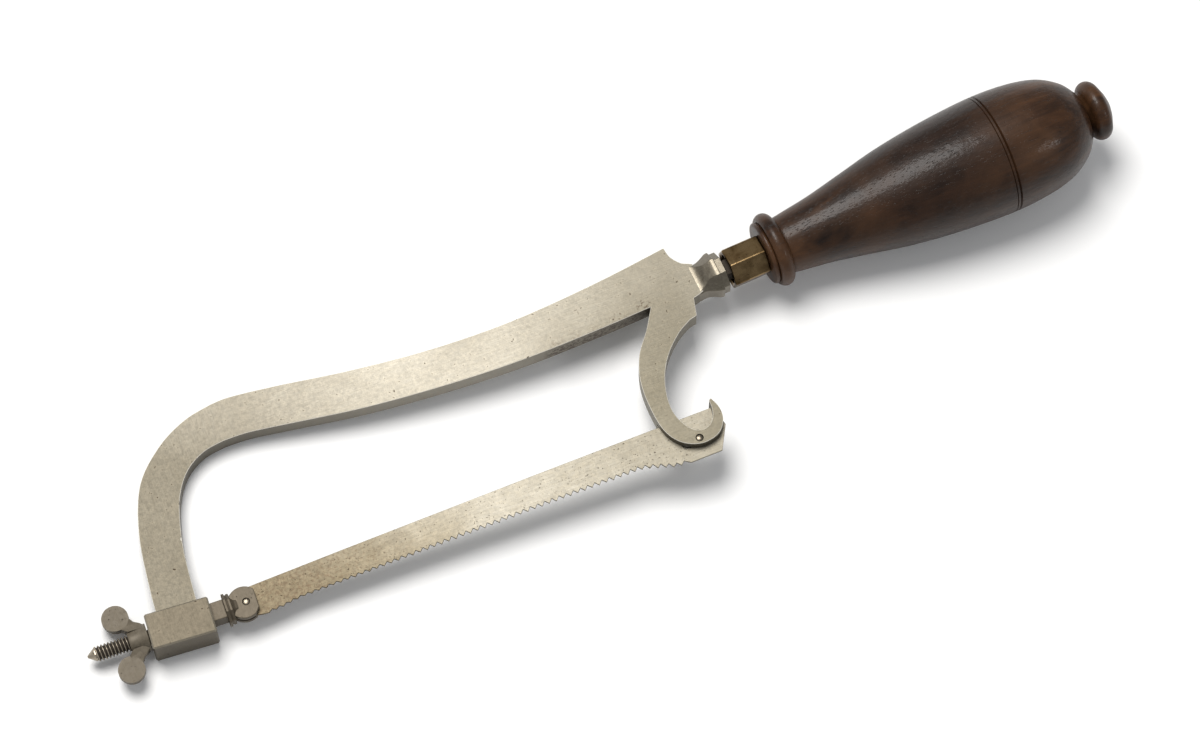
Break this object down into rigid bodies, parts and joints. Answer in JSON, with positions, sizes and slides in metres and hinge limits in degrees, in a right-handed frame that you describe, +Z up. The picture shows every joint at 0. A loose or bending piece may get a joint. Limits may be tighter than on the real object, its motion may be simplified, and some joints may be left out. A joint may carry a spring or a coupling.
{
  "type": "bow saw",
  "caption": "Small metal-cutting bow saw with a forged steel bow, a pinned toothed blade tensioned by a wing nut, and a turned wooden handle.",
  "frame": {"origin": "middle of the bounding box's bottom face, on the surface that the saw lies on", "axes": "+X along the saw from the wing nut to the handle, +Y from the blade to the bow, +Z up from the surface"},
  "size_m": [0.337, 0.0828, 0.0367],
  "materials": {
    "frame_steel": "filed, satin",
    "bolt_steel": "satin, lightly toned",
    "blade_steel": "satin, spotted",
    "brass": "aged",
    "wood": "polished dark hardwood"
  },
  "bodies": {
    "frame": {"bow_bar": "frame_steel", "front_leg": "frame_steel", "front_boss": "frame_steel", "rear_arm": "frame_steel", "bolster": "frame_steel", "tang": "bolt_steel", "ferrule": "brass", "handle": "wood", "rear_pin": "frame_steel"},
    "draw_bolt": {"draw_bolt": "bolt_steel", "front_pin": "frame_steel", "blade": "blade_steel"},
    "wing_nut": {"wing_nut": "bolt_steel"}
  },
  "joints": [
    {"name": "wing_nut_turn", "type": "hinge", "parent": "frame", "child": "wing_nut", "pos_m": [-0.15354, -0.02961, 0.00588], "axis": [-0.9979, 0.0209, -0.0614], "range_deg": [0, 1440]},
    {"name": "draw_bolt_slide", "type": "slide", "parent": "frame", "child": "draw_bolt", "axis": [0.9979, -0.0209, 0.0614], "range_m": [0, 0.004]}
  ],
  "couplings": [
    {"joint": "draw_bolt_slide", "follows": "wing_nut_turn", "m_per_rad": 0.00015915}
  ]
}
